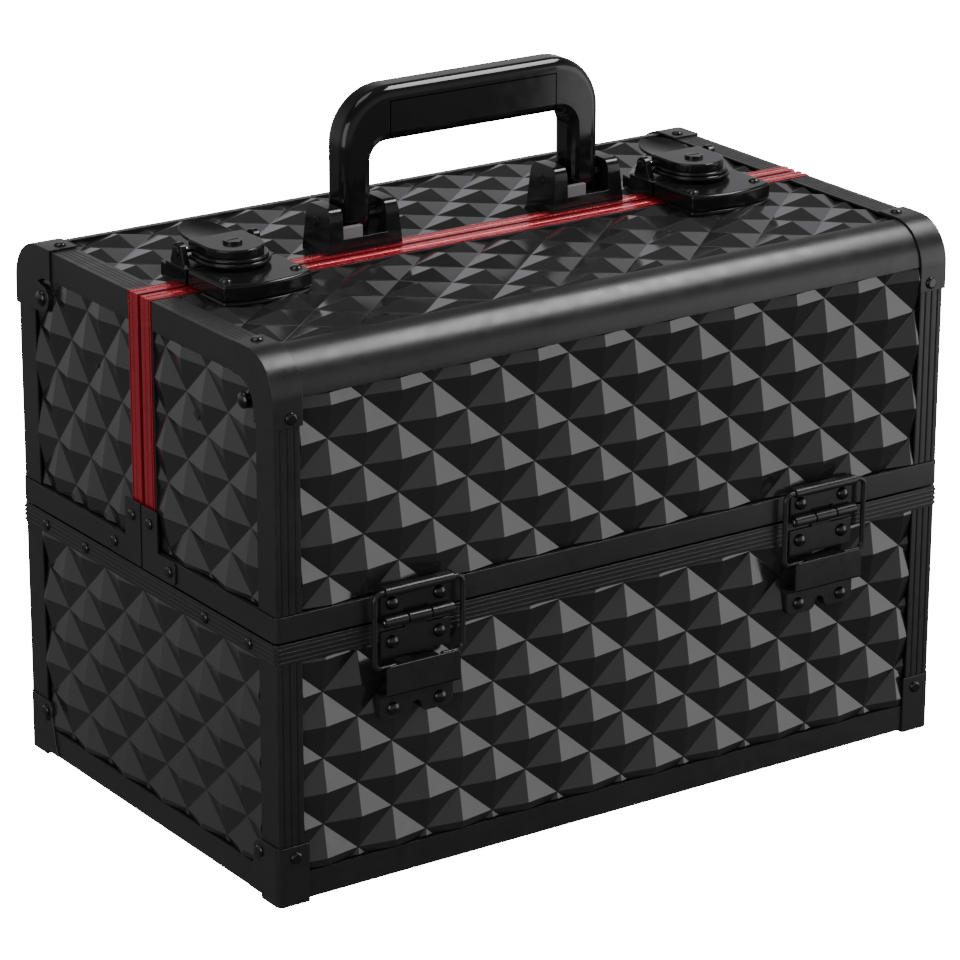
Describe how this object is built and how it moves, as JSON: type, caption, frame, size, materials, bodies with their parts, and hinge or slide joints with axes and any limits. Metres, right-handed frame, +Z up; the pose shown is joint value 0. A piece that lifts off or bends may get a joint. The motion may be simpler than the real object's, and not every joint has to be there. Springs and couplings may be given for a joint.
{
  "type": "makeup train case",
  "caption": "Hard-sided cosmetics train case whose lids open outwards on side hinges, carrying cantilever trays, with key latches and a folding carry handle on top.",
  "frame": {"origin": "on the floor under the middle of the closed case, at the bottom of the feet", "axes": "+X along the long side, +Y from the front lid towards the rear lid that carries the handle, +Z up"},
  "size_m": [0.3716, 0.2378, 0.3265],
  "materials": {
    "black_board": "glossy, pressed with raised diamonds",
    "bottom_board": "matte",
    "black_profile": "black anodised, satin",
    "red_profile": "red anodised, ribbed",
    "black_steel": "black, semi-gloss",
    "pin_steel": "plain",
    "arm_steel": "black, semi-gloss",
    "tray_plastic": "fine grained",
    "handle_plastic": "glossy black",
    "bracket_plastic": "glossy black",
    "lever_steel": "black, glossy",
    "lock_chrome": "black chrome",
    "foot_rubber": "matte"
  },
  "bodies": {
    "base": {"base_bottom": "bottom_board", "base_bottom_profile": "black_profile", "base_corner_protectors": "black_steel", "base_end_panels": "black_board", "base_posts": "black_profile", "base_rim": "black_profile", "base_rivets": "black_steel", "feet": "foot_rubber", "front_base_hinge_leaves": "black_steel", "front_base_panel": "black_board", "front_hinge_pins": "pin_steel", "front_stay_brackets": "black_steel", "rear_base_hinge_leaves": "black_steel", "rear_base_panel": "black_board", "rear_hinge_pins": "pin_steel", "rear_stay_brackets": "black_steel"},
    "front_lid": {"front_lid_corner_caps": "black_steel", "front_lid_edge_profile": "black_profile", "front_lid_end_panels": "black_board", "front_lid_end_trims": "black_profile", "front_lid_hinge_leaves": "black_steel", "front_lid_panel": "black_board", "front_lid_rim": "black_profile", "front_lid_rivets": "black_steel", "front_lid_split_brackets": "black_steel", "front_lid_split_profile": "red_profile", "front_lid_top_panel": "black_board", "latch_bases": "black_steel"},
    "rear_lid": {"rear_lid_corner_caps": "black_steel", "rear_lid_edge_profile": "black_profile", "rear_lid_end_panels": "black_board", "rear_lid_end_trims": "black_profile", "rear_lid_hinge_leaves": "black_steel", "rear_lid_panel": "black_board", "rear_lid_rim": "black_profile", "rear_lid_rivets": "black_steel", "rear_lid_split_brackets": "black_steel", "rear_lid_split_profile": "red_profile", "rear_lid_top_panel": "black_board", "latch_blocks": "black_steel", "latch_pins": "pin_steel", "handle_brackets": "bracket_plastic", "handle_pins": "pin_steel"},
    "front_outer_arms": {"front_outer_arms": "arm_steel"},
    "front_inner_arms": {"front_inner_arms": "arm_steel"},
    "front_lower_tray": {"front_lower_tray": "tray_plastic"},
    "front_upper_tray": {"front_upper_tray": "tray_plastic"},
    "front_lid_links": {"front_lid_links": "arm_steel"},
    "front_stay_wires": {"front_stay_wires": "black_steel"},
    "rear_outer_arms": {"rear_outer_arms": "arm_steel"},
    "rear_inner_arms": {"rear_inner_arms": "arm_steel"},
    "rear_lower_tray": {"rear_lower_tray": "tray_plastic"},
    "rear_upper_tray": {"rear_upper_tray": "tray_plastic"},
    "rear_lid_links": {"rear_lid_links": "arm_steel"},
    "rear_stay_wires": {"rear_stay_wires": "black_steel"},
    "handle": {"handle": "handle_plastic"},
    "left_latch_lever": {"left_latch_lever": "lever_steel"},
    "right_latch_lever": {"right_latch_lever": "lever_steel"},
    "left_key_plug": {"left_key_plug": "lock_chrome"},
    "right_key_plug": {"right_key_plug": "lock_chrome"}
  },
  "joints": [
    {"name": "front_lid_hinge", "type": "hinge", "parent": "base", "child": "front_lid", "pos_m": [0, -0.1144, 0.1265], "axis": [1, 0, 0], "range_deg": [0, 90]},
    {"name": "front_outer_arms_pivot", "type": "hinge", "parent": "base", "child": "front_outer_arms", "pos_m": [0, -0.0844, 0.1185], "axis": [1, 0, 0], "range_deg": [0, 90]},
    {"name": "front_inner_arms_pivot", "type": "hinge", "parent": "base", "child": "front_inner_arms", "pos_m": [0, -0.0664, 0.1185], "axis": [1, 0, 0], "range_deg": [0, 90]},
    {"name": "front_lower_tray_pivot", "type": "hinge", "parent": "front_outer_arms", "child": "front_lower_tray", "pos_m": [0, -0.05612, 0.15221], "axis": [-1, 0, 0], "range_deg": [0, 90]},
    {"name": "front_upper_tray_pivot", "type": "hinge", "parent": "front_outer_arms", "child": "front_upper_tray", "pos_m": [0, -0.02783, 0.18591], "axis": [-1, 0, 0], "range_deg": [0, 90]},
    {"name": "front_lid_links_pivot", "type": "hinge", "parent": "front_outer_arms", "child": "front_lid_links", "pos_m": [0, -0.01369, 0.20277], "axis": [-1, 0, 0], "range_deg": [0, 90]},
    {"name": "front_stay_pivot", "type": "hinge", "parent": "front_lid", "child": "front_stay_wires", "pos_m": [0, -0.1144, 0.1405], "axis": [-1, 0, 0], "range_deg": [0, 63]},
    {"name": "rear_lid_hinge", "type": "hinge", "parent": "base", "child": "rear_lid", "pos_m": [0, 0.1144, 0.1265], "axis": [-1, 0, 0], "range_deg": [0, 90]},
    {"name": "rear_outer_arms_pivot", "type": "hinge", "parent": "base", "child": "rear_outer_arms", "pos_m": [0, 0.0844, 0.1185], "axis": [-1, 0, 0], "range_deg": [0, 90]},
    {"name": "rear_inner_arms_pivot", "type": "hinge", "parent": "base", "child": "rear_inner_arms", "pos_m": [0, 0.0664, 0.1185], "axis": [-1, 0, 0], "range_deg": [0, 90]},
    {"name": "rear_lower_tray_pivot", "type": "hinge", "parent": "rear_outer_arms", "child": "rear_lower_tray", "pos_m": [0, 0.05612, 0.15221], "axis": [1, 0, 0], "range_deg": [0, 90]},
    {"name": "rear_upper_tray_pivot", "type": "hinge", "parent": "rear_outer_arms", "child": "rear_upper_tray", "pos_m": [0, 0.02783, 0.18591], "axis": [1, 0, 0], "range_deg": [0, 90]},
    {"name": "rear_lid_links_pivot", "type": "hinge", "parent": "rear_outer_arms", "child": "rear_lid_links", "pos_m": [0, 0.01369, 0.20277], "axis": [1, 0, 0], "range_deg": [0, 90]},
    {"name": "rear_stay_pivot", "type": "hinge", "parent": "rear_lid", "child": "rear_stay_wires", "pos_m": [0, 0.1144, 0.1405], "axis": [1, 0, 0], "range_deg": [0, 63]},
    {"name": "handle_pivot", "type": "hinge", "parent": "rear_lid", "child": "handle", "pos_m": [0, 0.016, 0.267], "axis": [-1, 0, 0], "range_deg": [0, 90]},
    {"name": "left_latch_pivot", "type": "hinge", "parent": "rear_lid", "child": "left_latch_lever", "pos_m": [-0.1355, 0.012, 0.2668], "axis": [-1, 0, 0], "range_deg": [0, 25]},
    {"name": "left_key_turn", "type": "hinge", "parent": "left_latch_lever", "child": "left_key_plug", "pos_m": [-0.1355, -0.0015, 0.269], "axis": [0, 0, -1], "range_deg": [0, 90]},
    {"name": "right_latch_pivot", "type": "hinge", "parent": "rear_lid", "child": "right_latch_lever", "pos_m": [0.119, 0.012, 0.2668], "axis": [-1, 0, 0], "range_deg": [0, 25]},
    {"name": "right_key_turn", "type": "hinge", "parent": "right_latch_lever", "child": "right_key_plug", "pos_m": [0.119, -0.0015, 0.269], "axis": [0, 0, -1], "range_deg": [0, 90]}
  ],
  "couplings": [
    {"joint": "front_outer_arms_pivot", "follows": "front_lid_hinge", "ratio": 1},
    {"joint": "front_inner_arms_pivot", "follows": "front_lid_hinge", "ratio": 1},
    {"joint": "front_lower_tray_pivot", "follows": "front_lid_hinge", "ratio": 1},
    {"joint": "front_upper_tray_pivot", "follows": "front_lid_hinge", "ratio": 1},
    {"joint": "front_lid_links_pivot", "follows": "front_lid_hinge", "ratio": 1},
    {"joint": "front_stay_pivot", "follows": "front_lid_hinge", "ratio": 0.7},
    {"joint": "rear_outer_arms_pivot", "follows": "rear_lid_hinge", "ratio": 1},
    {"joint": "rear_inner_arms_pivot", "follows": "rear_lid_hinge", "ratio": 1},
    {"joint": "rear_lower_tray_pivot", "follows": "rear_lid_hinge", "ratio": 1},
    {"joint": "rear_upper_tray_pivot", "follows": "rear_lid_hinge", "ratio": 1},
    {"joint": "rear_lid_links_pivot", "follows": "rear_lid_hinge", "ratio": 1},
    {"joint": "rear_stay_pivot", "follows": "rear_lid_hinge", "ratio": 0.7}
  ]
}
